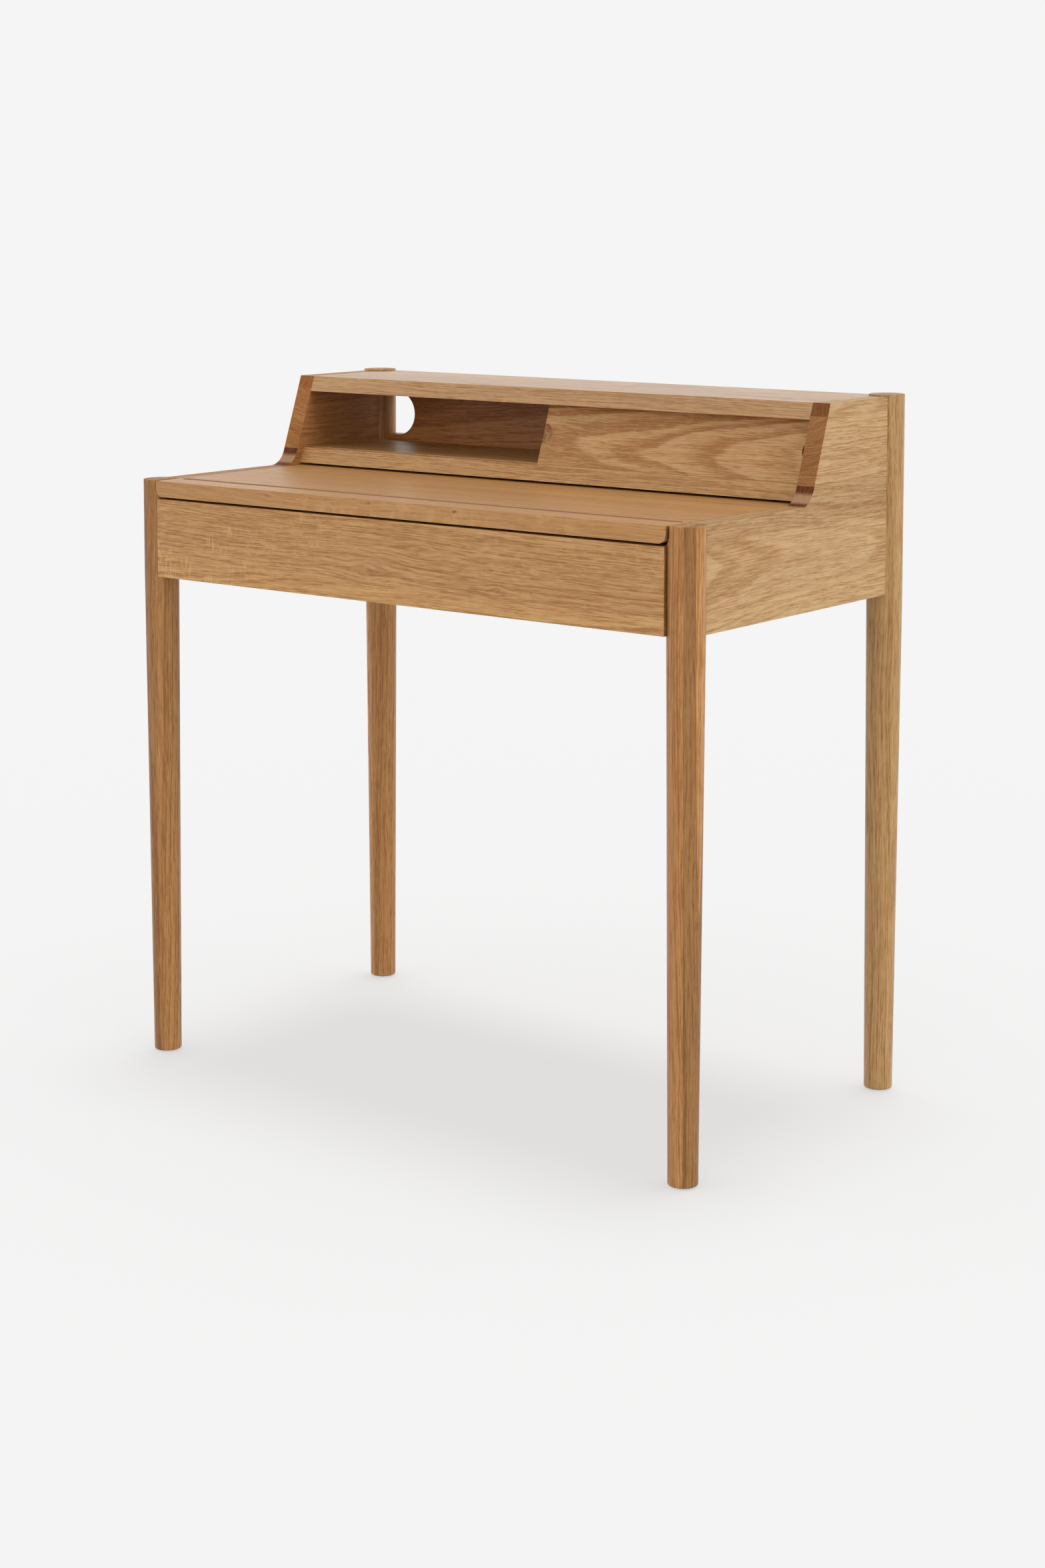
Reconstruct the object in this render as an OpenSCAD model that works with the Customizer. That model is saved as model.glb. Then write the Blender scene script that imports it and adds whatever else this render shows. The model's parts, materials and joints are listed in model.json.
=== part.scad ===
// Writing desk in solid oak: four turned legs, two stepped side panels, a raised shelf
// box with a sliding door, a worktop that pulls forward and one wide drawer.
// Millimetres. +X is the desk's right, -Y its front, +Z up.
// The origin is on the floor, below the middle of the desk.

/* [Overall] */
// Width over the legs
desk_w = 860; // [700:2:1100]
// Depth over the legs
desk_d = 476; // [392:2:600]
// Height of the writing surface
desk_h = 750; // [600:5:900]
// Height of the shelf top above the writing surface
shelf_rise = 118.5; // [98:0.5:145]

/* [Legs] */
// Diameter of a leg beside the drawer
leg_d = 44; // [36:0.5:54]
// Diameter of a leg at the floor
foot_d = 35; // [26:0.5:36]
// Height that the rear legs stand above the shelf top
rear_leg_proud = 2.3; // [0.5:0.1:5]
// Height that the front legs stand above the writing surface
front_leg_proud = 0.5; // [0:0.1:2]
// Radius that eases the top rim of a leg
rim_r = 1; // [0.5:0.1:2]
// Radius at the bottom edge of a leg
foot_r = 2; // [1:0.1:4]
// Diameter of the felt glide under a leg
glide_d = 22; // [16:1:25]
// Thickness of a felt glide
glide_t = 3; // [2:0.5:5]
// Gap under the wood of a leg
glide_show = 1.5; // [0.5:0.1:1.8]

/* [Side panels] */
// Thickness of a side panel
side_t = 24; // [18:0.5:30]
// Lean of the front edge beside the shelf box, in degrees
lean = 19.65; // [10:0.05:28]
// Depth of the shelf box, from the rear leg's axis to its front top edge
box_d = 151.2; // [120:0.1:185]
// Radius of the curve from the level edge up to the leaning one
sweep_r = 27; // [16:1:34]

/* [Shelf box] */
// Thickness of the two shelf boards
shelf_t = 20; // [16:0.5:24]
// Setback of the floor board behind the leaning edge of the side panels
floor_setback = 11.6; // [6:0.1:16]
// Thickness of the back boards
back_t = 22; // [18:0.5:27]
// Rear face of the back boards, behind the rear leg's axis
back_off = 12; // [8:0.5:14]
// Height of the cable opening beside the left rear leg, and the width of its half-round end
cable_d = 60; // [40:1:64]
// Distance of the half-round end's axis from the rear leg's axis
cable_in = 41.5; // [36:0.5:120]

/* [Sliding door] */
// Thickness of the door
door_t = 10; // [8:0.5:12]
// Setback of the door behind the front edge of the floor board
door_setback = 8.8; // [6:0.1:14]
// Length of door that passes the middle of the desk
door_lap = 4; // [0:1:30]
// Depth of the groove in the floor board
groove_low = 5; // [4:0.5:7]
// Depth of the groove in the top board
groove_high = 9; // [7:0.5:11]
// Radius of the finger scoops
scoop_r = 13.3; // [10:0.1:18]
// Greatest depth of a finger scoop
scoop_depth = 5; // [3:0.1:6]

/* [Worktop] */
// Thickness of the worktop
top_t = 20; // [16:0.5:24]
// Gap between the worktop and the shelf box's floor board
slide_gap = 3; // [2:0.1:5]
// Gap between the worktop and a side panel
top_side_gap = 0.8; // [0.4:0.1:1.5]
// Gap between the worktop and the notch in a front leg
notch_gap = 3.3; // [1.5:0.1:5]
// Radius of the worktop's lower end corners
corner_r = 11; // [6:0.5:14]
// Distance that the worktop pulls forward
top_travel = 200; // [150:5:215]
// Width of the pen groove
pen_w = 12; // [8:0.5:16]
// Depth of the pen groove
pen_depth = 4; // [2:0.5:6]
// Distance of the pen groove's axis behind the front edge
pen_back = 43; // [25:1:80]
// Margin between an end of the pen groove and the end of the worktop
pen_margin = 8; // [6:1:60]
// Width of the batten under the worktop
batten_w = 30; // [20:1:40]

/* [Drawer] */
// Height of the drawer front
front_h = 100; // [84:1:120]
// Thickness of the drawer front
front_t = 20; // [16:0.5:24]
// Gap between the drawer front and the worktop
front_top_gap = 3; // [1.5:0.1:4]
// Gap between an end of the drawer front and the flat on a leg
front_end_gap = 1.1; // [0.6:0.1:2]
// Depth of the flat on a leg, measured from the leg's axis
flat_in = 13.7; // [13:0.1:15]
// Height of the drawer front below the drawer box
lip_h = 18; // [12:1:24]
// Thickness of the drawer sides and back
wall_t = 12; // [10:0.5:14]
// Thickness of the drawer bottom
bottom_t = 6; // [4:0.5:8]
// Depth of the grooves in the drawer sides
side_groove = 6; // [4:0.5:7]
// Distance that the drawer pulls out
drawer_travel = 300; // [200:10:300]

/* [Rails and runners] */
// Thickness of the front rail and of the worktop runners
rail_t = 20; // [16:0.5:24]
// Width of the front rail
rail_w = 60; // [40:1:80]
// Width of a worktop runner
runner_w = 24; // [18:1:30]
// Height of a drawer runner
drawer_runner_h = 14.2; // [10:0.1:18]
// Width of a stop block
stop_w = 40; // [30:1:60]

/* [Joinery and clearances] */
// Diameter of the dowels in the frame
dowel_d = 8; // [6:0.5:10]
// Length of the dowels between a leg and a board
long_dowel = 36; // [28:1:40]
// Length of the dowels in the face of a side panel and in the edges of the back board
short_dowel = 24; // [18:1:28]
// Diameter of the dowels in the drawer
thin_dowel_d = 6; // [4:0.5:8]
// Shank diameter of the screws
screw_d = 4; // [3:0.5:5]
// Length of the screws
screw_l = 26; // [20:1:30]
// Glue line between pieces that are fixed together
glue = 0.05; // [0.02:0.01:0.1]
// Gap between a moving piece and what carries it
run_gap = 0.3; // [0.2:0.05:0.5]
// Gap on each side of the door in its grooves
door_gap = 0.4; // [0.3:0.05:0.8]

/* [Hidden] */
$fn = 96;
OAK = "#c49a6a";
OAK_PALE = "#d9b98c";
STEEL = "#a8a8a8";
FELT = "#5b5550";
leg_r = leg_d / 2;
axis_x = desk_w / 2 - leg_r;
axis_y = desk_d / 2 - leg_r;
front_y = -desk_d / 2;
inner_x = axis_x - side_t / 2;
fixed_x = inner_x - glue;
shelf_h = desk_h + shelf_rise;
// Small gaps and insets that hold at every size
panel_reach = 1;
worktop_back_gap = 4;
wall_setback = 0.7;
wall_top_gap = 4.7;
drawer_back_gap = 14;
runner_lift = 2;
runner_end_gap = 2;
batten_stop_gap = 0.5;
floor_play = 0.3;
scoop_edge = 0.6;
screw_rim = 0.5;
slot_w = 0.9;
slot_depth = 2.4;
through = 10;
// Distances of the dowels and screws from the edges beside them
low_inset = 34;
high_inset = 18;
box_inset = 20;
roof_inset = 4;
board_front_inset = 24;
board_back_inset = 16;
back_inset = 30;
runner_screw_inset = 30;
drawer_runner_screw_inset = 20;
wall_low_inset = 10;
wall_high_inset = 12;
front_peg_l = 24;
back_peg_l = 20;
batten_screw_sink = 7;
// Places of the stop blocks, as shares of the width
drawer_stop_at = 0.3;
top_stop_at = 0.2;
stop_low = 6;
stop_high = 30;
stop_inset = 3;
// Spread of rows of dowels and screws, as a share of the length
row_spread = 0.45;
bottom_spread = 0.7;
// Levels of the worktop, drawer and shelf box
top_low = desk_h - top_t;
front_top = top_low - front_top_gap;
front_low = front_top - front_h;
panel_low = front_low - panel_reach;
rail_top = top_low - run_gap;
rail_low = rail_top - rail_t;
floor_low = desk_h + slide_gap;
floor_top = floor_low + shelf_t;
roof_low = shelf_h - shelf_t;
box_mid = (floor_top + roof_low) / 2;
// Planes of the shelf box
slope_top_y = axis_y - box_d;
back_y = axis_y + back_off;
back_front = back_y - back_t;
back_mid = (back_y + back_front) / 2;
door_back = floor_setback + door_setback;
door_run = door_t / cos(lean);
door_slack = door_gap / cos(lean);
door_low = floor_top - groove_low + run_gap;
door_high = roof_low + groove_high / 2;
door_right = fixed_x - top_side_gap;
// Worktop
top_half = inner_x - top_side_gap;
notch_in = axis_x - top_half - notch_gap;
top_back = axis_y - leg_r - worktop_back_gap;
// Drawer
front_half = axis_x - flat_in - front_end_gap;
wall_x = front_half - wall_setback;
wall_low = front_low + lip_h;
wall_top = rail_low - wall_top_gap;
floor_z = wall_low + bottom_t;
drawer_back_y = axis_y - leg_r - drawer_back_gap;
drawer_front_back = front_y + front_t;
runner_mid = (wall_low + wall_top) / 2 + runner_lift;
runner_groove_h = drawer_runner_h + 2 * run_gap;
runner_front = leg_r + runner_end_gap - axis_y;
runner_back = axis_y - leg_r - runner_end_gap;
rail_front = runner_front;
rail_back = rail_front + rail_w;
batten_front = rail_back + top_travel + batten_stop_gap;
batten_half = fixed_x - runner_w - runner_end_gap;
// Places of the dowels and screws
front_dowel_z = [panel_low + low_inset, front_top - high_inset];
rear_dowel_z = concat(front_dowel_z, [box_mid - box_inset, roof_low - roof_inset]);
rail_dowel_y = [rail_front + rail_w / 4, rail_back - rail_w / 4];
shelf_dowel_y = [slope_top_y + board_front_inset, axis_y - leg_r - board_back_inset];
back_dowel_x = [for (k = [-1.5:1:1.5]) k * inner_x * row_spread];
low_back_dowel_z = [panel_low + back_inset, floor_low - back_inset];
runner_screw_y = three_between(rail_back + runner_screw_inset, runner_back - runner_screw_inset);
drawer_runner_screw_y = three_between(runner_front + drawer_runner_screw_inset,
    runner_back - drawer_runner_screw_inset);
batten_screw_x = [for (k = [-2:2]) k * batten_half * row_spread];
bottom_screw_x = [for (k = [-1:1]) k * wall_x * bottom_spread];
screw_head_d = 2 * screw_d;
scoop_angle = atan((scoop_depth - scoop_edge) / scoop_r);

// Two ends and the middle between them
function three_between(a, b) = [a, (a + b) / 2, b];
// Points of an arc about c, from angle a to angle b
function arc(c, r, a, b, n = 8) =
    [for (k = [0:n]) c + r * [cos(a + (b - a) * k / n), sin(a + (b - a) * k / n)]];
// Y of the leaning front plane of the side panels at height z
function slope_y(z) = slope_top_y - (shelf_h - z) * tan(lean);

// Draws its children, mirrored to the right side when side is 1
module on_side(side) {
    if (side > 0) mirror([1, 0, 0]) children();
    else children();
}

// Extrudes an outline in Y and Z along X, between two places
module along_x(x0, x1) {
    translate([x0, 0, 0]) rotate([90, 0, 90]) linear_extrude(x1 - x0) children();
}

// Extrudes an outline in X and Z along Y, between two places
module along_y(y0, y1) {
    translate([0, y1, 0]) rotate([90, 0, 0]) linear_extrude(y1 - y0) children();
}

// Box between two corners
module block(low, high) {
    translate(low) cube(high - low);
}

// Rounds that hold a peg or a dowel along each axis, centred on p
module peg_x(p, d, l) { translate(p) rotate([0, 90, 0]) cylinder(d = d, h = l, center = true); }
module peg_y(p, d, l) { translate(p) rotate([90, 0, 0]) cylinder(d = d, h = l, center = true); }
module peg_z(p, d, l) { translate(p) cylinder(d = d, h = l, center = true); }

// Dowels of the frame; grow widens and lengthens them for their holes
module panel_dowels(side, grow = 0) {
    for (z = front_dowel_z)
        peg_y([side * axis_x, leg_r - axis_y, z], dowel_d + grow, long_dowel + 2 * through * grow);
    for (z = rear_dowel_z)
        peg_y([side * axis_x, axis_y - leg_r, z], dowel_d + grow, long_dowel + 2 * through * grow);
}

module board_dowels(side, grow = 0) {
    for (y = shelf_dowel_y)
        peg_x([side * inner_x, y, shelf_h - shelf_t / 2], dowel_d + grow,
            short_dowel + 2 * through * grow);
    for (y = shelf_dowel_y)
        peg_x([side * inner_x, y, floor_low + shelf_t / 2], dowel_d + grow,
            short_dowel + 2 * through * grow);
    for (y = rail_dowel_y)
        peg_x([side * inner_x, y, rail_low + rail_t / 2], dowel_d + grow,
            short_dowel + 2 * through * grow);
}

module back_dowels(grow = 0) {
    for (side = [-1, 1], z = low_back_dowel_z)
        peg_x([side * (axis_x - leg_r), back_mid, z], dowel_d + grow, long_dowel + 2 * through * grow);
    for (x = back_dowel_x, z = [floor_top, roof_low])
        peg_z([x, back_mid, z], dowel_d + grow, short_dowel + 2 * through * grow);
}

// Countersunk screw: head at the origin, shank down -Z
module screw() {
    difference() {
        rotate_extrude() polygon([[0, 0], [screw_head_d / 2, 0], [screw_head_d / 2, -screw_rim],
            [screw_d / 2, -screw_rim - screw_d / 2], [screw_d / 2, -screw_l + screw_d],
            [0, -screw_l]]);
        for (a = [0, 90]) rotate(a) cube([slot_w, screw_d, slot_depth], center = true);
    }
}

// Hole that the screw turns into; above is the length of hole above its head
module screw_hole(above = 0) {
    translate([0, 0, -screw_l - 1]) cylinder(d = screw_d + 2 * glue, h = screw_l + 1);
    translate([0, 0, -screw_rim - screw_d / 2]) cylinder(d1 = screw_d + 2 * glue,
        d2 = screw_head_d + 2 * glue, h = screw_d / 2);
    translate([0, 0, -screw_rim])
        cylinder(d = screw_head_d + 2 * glue, h = screw_rim + above);
}

// Places of the screws that hold the runners to a side panel
module at_runner_screws(side) {
    for (y = runner_screw_y)
        translate([side * (fixed_x - runner_w + 1), y, rail_low + rail_t / 2])
            rotate([0, -side * 90, 0]) children();
}

module at_drawer_runner_screws(side) {
    for (y = drawer_runner_screw_y)
        translate([side * (wall_x - side_groove + run_gap + wall_setback), y, runner_mid])
            rotate([0, -side * 90, 0]) children();
}

module at_batten_screws() {
    for (x = batten_screw_x)
        translate([x, batten_front + batten_w / 2, rail_low + batten_screw_sink])
            rotate([180, 0, 0]) children();
}

module at_bottom_screws() {
    for (x = bottom_screw_x)
        translate([x, drawer_back_y - wall_t / 2, wall_low + screw_rim]) rotate([180, 0, 0]) children();
}

// Turned leg with its foot at the origin
module turned_leg(h) {
    difference() {
        rotate_extrude() polygon(concat([[0, glide_show]],
            arc([foot_d / 2 - foot_r, glide_show + foot_r], foot_r, -90, 0),
            [[leg_r, panel_low]],
            arc([leg_r - rim_r, h - rim_r], rim_r, 0, 90), [[0, h]]));
        cylinder(d = glide_d + 2 * glue, h = glide_t + glue);
    }
}

// Round of a leg that boards are coped around
module leg_bite(side, y) {
    translate([side * axis_x, y, 0]) cylinder(r = leg_r + glue, h = 2 * shelf_h);
}

// Front leg, notched through for the worktop and flattened for the drawer
module leg_front(side) {
    color(OAK) difference() {
        translate([side * axis_x, -axis_y, 0]) turned_leg(desk_h + front_leg_proud);
        on_side(side) translate([-axis_x, 0, 0]) along_y(front_y - 1, leg_r + 1 - axis_y) {
            translate([notch_in + notch_gap + corner_r, top_low + corner_r])
                circle(corner_r + notch_gap);
            translate([notch_in, top_low + corner_r]) square([leg_r, 2 * top_t]);
            translate([flat_in, panel_low]) square([leg_r, front_h + 2 * panel_reach]);
        }
        panel_dowels(side, 2 * glue);
    }
}

module leg_rear(side) {
    color(OAK) difference() {
        translate([side * axis_x, axis_y, 0]) turned_leg(shelf_h + rear_leg_proud);
        panel_dowels(side, 2 * glue);
        back_dowels(2 * glue);
    }
}

// Outline of a side panel in Y and Z: level edge, curve, leaning edge, shelf top
module side_outline() {
    foot = slope_y(desk_h);
    t = sweep_r * tan((90 - lean) / 2);
    polygon(concat([[-axis_y, panel_low], [axis_y, panel_low], [axis_y, shelf_h],
        [slope_top_y, shelf_h]],
        arc([foot - t, desk_h + sweep_r], sweep_r, -lean, -90, 16),
        [[-axis_y, desk_h]]));
}

module side_panel(side) {
    color(OAK) difference() {
        on_side(side) along_x(-inner_x - side_t, -inner_x) side_outline();
        leg_bite(side, -axis_y);
        leg_bite(side, axis_y);
        panel_dowels(side, 2 * glue);
        board_dowels(side, 2 * glue);
        at_runner_screws(side) screw_hole();
        at_drawer_runner_screws(side) screw_hole();
    }
}

// Slot for the door, leaning with it, between two heights
module door_slot(z0, z1) {
    back = door_back + door_run + door_slack;
    front = door_back - door_slack;
    along_x(-inner_x, inner_x) polygon([[slope_y(z0) + front, z0], [slope_y(z0) + back, z0],
        [slope_y(z1) + back, z1], [slope_y(z1) + front, z1]]);
}

// Shelf board with a leaning front edge, set back by setback
module shelf_board(z0, setback) {
    difference() {
        along_x(-fixed_x, fixed_x) polygon([[slope_y(z0) + setback, z0], [back_y, z0],
            [back_y, z0 + shelf_t], [slope_y(z0 + shelf_t) + setback, z0 + shelf_t]]);
        for (side = [-1, 1]) {
            leg_bite(side, axis_y);
            board_dowels(side, 2 * glue);
        }
        back_dowels(2 * glue);
    }
}

module shelf_top_board() {
    color(OAK) difference() {
        shelf_board(roof_low, 0);
        door_slot(roof_low - 1, roof_low + groove_high);
    }
}

module shelf_floor_board() {
    color(OAK) difference() {
        shelf_board(floor_low, floor_setback);
        door_slot(floor_top - groove_low, floor_top + 1);
    }
}

// Board between the rear legs, from z0 to z1
module back_board(z0, z1) {
    difference() {
        block([-axis_x, back_front, z0], [axis_x, back_y, z1]);
        for (side = [-1, 1]) leg_bite(side, axis_y);
        back_dowels(2 * glue);
    }
}

module shelf_back_board() {
    color(OAK) difference() {
        back_board(floor_top + glue, roof_low - glue);
        peg_y([cable_in - axis_x, back_mid, box_mid], cable_d, back_t + 2);
        block([-axis_x, back_mid - back_t, box_mid - cable_d / 2],
            [cable_in - axis_x, back_mid + back_t, box_mid + cable_d / 2]);
    }
}

module lower_back_board() {
    color(OAK) back_board(panel_low, floor_low - glue);
}

// Flat rail that ties the side panels under the worktop
module front_rail() {
    color(OAK) difference() {
        block([-fixed_x, rail_front, rail_low], [fixed_x, rail_back, rail_top]);
        for (side = [-1, 1]) board_dowels(side, 2 * glue);
    }
}

// Runner that carries the worktop and keeps the drawer from tipping
module worktop_runner(side) {
    color(OAK_PALE) difference() {
        on_side(side) block([-fixed_x, rail_back + glue, rail_low],
            [runner_w - fixed_x, runner_back, rail_top]);
        at_runner_screws(side) screw_hole(through);
    }
}

// Runner that the groove of a drawer side slides on
module drawer_runner(side) {
    color(OAK_PALE) difference() {
        on_side(side) block([-fixed_x, runner_front, runner_mid - drawer_runner_h / 2],
            [side_groove - run_gap - wall_x, runner_back, runner_mid + drawer_runner_h / 2]);
        at_drawer_runner_screws(side) screw_hole(through);
    }
}

// Blocks that stop the drawer and the worktop when they are closed
module stop_blocks() {
    color(OAK_PALE) for (side = [-1, 1]) {
        translate([side * desk_w * drawer_stop_at, 0, 0])
            block([-stop_w / 2, drawer_back_y + run_gap, floor_z + stop_low],
                [stop_w / 2, back_front - glue, floor_z + stop_high]);
        translate([side * desk_w * top_stop_at, 0, 0])
            block([-stop_w / 2, top_back + run_gap, top_low + stop_inset],
                [stop_w / 2, back_front - glue, desk_h - stop_inset]);
    }
}

module frame_dowels() {
    color(OAK_PALE) {
        for (side = [-1, 1]) {
            panel_dowels(side);
            board_dowels(side);
        }
        back_dowels();
    }
}

module runner_screws() {
    color(STEEL) for (side = [-1, 1]) {
        at_runner_screws(side) screw();
        at_drawer_runner_screws(side) screw();
    }
}

module felt_glides() {
    color(FELT) for (side = [-1, 1], end = [-1, 1])
        translate([side * axis_x, end * axis_y, 0]) cylinder(d = glide_d, h = glide_t);
}

// Half-round finger scoop at a vertical edge, deepest away from it
module finger_scoop(side, edge) {
    translate([edge, slope_y(box_mid) + door_back, box_mid]) rotate([-lean, 0, 0])
        on_side(side) intersection() {
            rotate([90, 0, 0]) cylinder(r = scoop_r, h = 4 * scoop_depth, center = true);
            translate([0, scoop_edge, 0]) rotate([0, 0, scoop_angle])
                block([-3 * scoop_r, -6 * scoop_depth, -2 * scoop_r],
                    [3 * scoop_r, 0, 2 * scoop_r]);
        }
}

module sliding_door() {
    low = slope_y(door_low) + door_back;
    high = slope_y(door_high) + door_back;
    color(OAK) difference() {
        along_x(-door_lap, door_right) polygon([[low, door_low], [low + door_run, door_low],
            [high + door_run, door_high], [high, door_high]]);
        finger_scoop(-1, -door_lap);
        finger_scoop(1, door_right);
    }
}

// Round-bottomed groove for pens, with round ends
module pen_groove() {
    r = (pen_w * pen_w / 4 + pen_depth * pen_depth) / (2 * pen_depth);
    half = top_half - pen_margin - pen_w / 2;
    y = front_y + pen_back;
    intersection() {
        translate([0, y, desk_h - pen_depth + r]) rotate([0, 90, 0])
            cylinder(r = r, h = 2 * top_half, center = true);
        union() {
            block([-half, y - pen_w, desk_h - 2 * pen_depth], [half, y + pen_w, desk_h + 1]);
            for (x = [-half, half])
                translate([x, y, desk_h - 2 * pen_depth])
                    cylinder(d = pen_w, h = 2 * pen_depth + 1);
        }
    }
}

module worktop() {
    color(OAK) difference() {
        along_y(front_y, top_back) {
            translate([-top_half, top_low + corner_r])
                square([2 * top_half, top_t - corner_r]);
            translate([corner_r - top_half, top_low])
                square([2 * (top_half - corner_r), top_t]);
            intersection() {
                translate([-top_half, top_low]) square([2 * top_half, corner_r]);
                for (side = [-1, 1])
                    translate([side * (top_half - corner_r), top_low + corner_r])
                        circle(corner_r);
            }
        }
        pen_groove();
        at_batten_screws() screw_hole();
    }
}

module worktop_batten() {
    color(OAK_PALE) difference() {
        block([-batten_half, batten_front, rail_low], [batten_half, batten_front + batten_w,
            top_low - glue]);
        at_batten_screws() screw_hole(through);
    }
}

module batten_screws() {
    color(STEEL) at_batten_screws() screw();
}

// Dowels of the drawer box; grow widens and lengthens them for their holes
module drawer_pegs(side, grow = 0) {
    for (z = [floor_z + wall_low_inset, wall_top - wall_high_inset]) {
        peg_y([side * (wall_x - wall_t / 2), drawer_front_back, z], thin_dowel_d + grow,
            front_peg_l + 2 * through * grow);
        peg_x([side * (wall_x - wall_t), drawer_back_y - wall_t / 2, z], thin_dowel_d + grow,
            back_peg_l + 2 * through * grow);
    }
}

// Panel that fills the bottom grooves of the drawer; grow makes it into the groove
module drawer_floor(grow = 0) {
    half = wall_x - wall_t + side_groove - floor_play * (1 - grow);
    front = drawer_front_back - side_groove + floor_play * (1 - grow);
    block([-half, front, floor_z - glue * grow],
        [half, drawer_back_y + through * grow, floor_z + bottom_t + glue * grow]);
}

module drawer_front() {
    color(OAK) difference() {
        block([-front_half, front_y, front_low], [front_half, drawer_front_back, front_top]);
        for (side = [-1, 1]) drawer_pegs(side, 2 * glue);
        drawer_floor(1);
    }
}

module drawer_side(side) {
    color(OAK_PALE) difference() {
        on_side(side) block([-wall_x, drawer_front_back + glue, wall_low],
            [wall_t - wall_x, drawer_back_y, wall_top]);
        on_side(side) block([-wall_x - 1, drawer_front_back + through,
            runner_mid - runner_groove_h / 2], [side_groove - wall_x, drawer_back_y + 1,
            runner_mid + runner_groove_h / 2]);
        drawer_pegs(side, 2 * glue);
        drawer_floor(1);
    }
}

module drawer_back() {
    color(OAK_PALE) difference() {
        block([wall_t - wall_x + glue, drawer_back_y - wall_t, floor_z + bottom_t + glue],
            [wall_x - wall_t - glue, drawer_back_y, wall_top]);
        for (side = [-1, 1]) drawer_pegs(side, 2 * glue);
        at_bottom_screws() screw_hole();
    }
}

module drawer_bottom() {
    color(OAK_PALE) difference() {
        drawer_floor();
        at_bottom_screws() screw_hole(through);
    }
}

module drawer_dowels() {
    color(OAK_PALE) for (side = [-1, 1]) drawer_pegs(side);
}

module drawer_bottom_screws() {
    color(STEEL) at_bottom_screws() screw();
}

leg_front(-1);  // leg_front_left
leg_front(1);  // leg_front_right
leg_rear(-1);  // leg_rear_left
leg_rear(1);  // leg_rear_right
side_panel(-1);  // side_panel_left
side_panel(1);  // side_panel_right
shelf_top_board();
shelf_floor_board();
shelf_back_board();
lower_back_board();
front_rail();
worktop_runner(-1);  // worktop_runner_left
worktop_runner(1);  // worktop_runner_right
drawer_runner(-1);  // drawer_runner_left
drawer_runner(1);  // drawer_runner_right
stop_blocks();
frame_dowels();
runner_screws();
felt_glides();
sliding_door();
worktop();
worktop_batten();
batten_screws();
drawer_front();
drawer_side(-1);  // drawer_side_left
drawer_side(1);  // drawer_side_right
drawer_back();
drawer_bottom();
drawer_dowels();
drawer_bottom_screws();
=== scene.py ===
import json
import math

import bpy
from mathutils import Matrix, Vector


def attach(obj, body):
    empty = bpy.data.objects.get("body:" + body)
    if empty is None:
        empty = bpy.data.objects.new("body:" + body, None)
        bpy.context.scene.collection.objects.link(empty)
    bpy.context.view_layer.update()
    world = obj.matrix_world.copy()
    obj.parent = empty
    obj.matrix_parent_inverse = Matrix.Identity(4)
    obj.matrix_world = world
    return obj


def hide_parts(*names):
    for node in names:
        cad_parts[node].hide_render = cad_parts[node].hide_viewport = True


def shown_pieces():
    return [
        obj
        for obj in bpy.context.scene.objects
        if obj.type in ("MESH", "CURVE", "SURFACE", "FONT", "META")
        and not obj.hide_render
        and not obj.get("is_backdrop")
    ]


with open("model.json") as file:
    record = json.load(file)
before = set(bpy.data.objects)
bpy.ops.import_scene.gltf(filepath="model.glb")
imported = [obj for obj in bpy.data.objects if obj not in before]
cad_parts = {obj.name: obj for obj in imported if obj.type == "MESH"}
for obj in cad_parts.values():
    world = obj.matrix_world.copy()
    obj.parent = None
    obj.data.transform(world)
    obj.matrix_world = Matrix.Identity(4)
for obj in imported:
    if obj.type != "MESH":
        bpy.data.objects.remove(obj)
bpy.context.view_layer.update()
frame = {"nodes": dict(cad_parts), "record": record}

MM = 0.001
nodes = frame["nodes"]
body_holding = {
    node: body
    for body, members in frame["record"]["behaviour"]["bodies"].items()
    for node in members
}


# ---------------------------------------------------------------- finishes

def plug(tree, value, socket):
    """Joins a socket to another, or sets the plain value on it."""
    if isinstance(value, bpy.types.NodeSocket):
        tree.links.new(value, socket)
    else:
        socket.default_value = value


def reckon(tree, operation, *values, clamp=False):
    node = tree.nodes.new("ShaderNodeMath")
    node.operation = operation
    node.use_clamp = clamp
    for socket, value in zip(node.inputs, values):
        plug(tree, value, socket)
    return node.outputs[0]


def vector_sum(tree, operation, *values):
    node = tree.nodes.new("ShaderNodeVectorMath")
    node.operation = operation
    for socket, value in zip(node.inputs, values):
        plug(tree, value, socket)
    return node.outputs[0]


def ease(tree, value, low, high, bottom=0.0, top=1.0):
    """A smooth step from bottom to top as the value goes from low to high."""
    node = tree.nodes.new("ShaderNodeMapRange")
    node.interpolation_type = "SMOOTHSTEP"
    for socket, given in zip(node.inputs, (value, low, high, bottom, top)):
        plug(tree, given, socket)
    return node.outputs[0]


def blend(tree, share, first, second, kind="MIX"):
    node = tree.nodes.new("ShaderNodeMix")
    node.data_type = "RGBA"
    node.blend_type = kind
    plug(tree, share, node.inputs[0])
    plug(tree, first, node.inputs[6])
    plug(tree, second, node.inputs[7])
    return node.outputs[2]


def split(tree, vector):
    node = tree.nodes.new("ShaderNodeSeparateXYZ")
    plug(tree, vector, node.inputs[0])
    return node.outputs


def join(tree, x, y, z):
    node = tree.nodes.new("ShaderNodeCombineXYZ")
    for socket, value in zip(node.inputs, (x, y, z)):
        plug(tree, value, socket)
    return node.outputs[0]


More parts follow.
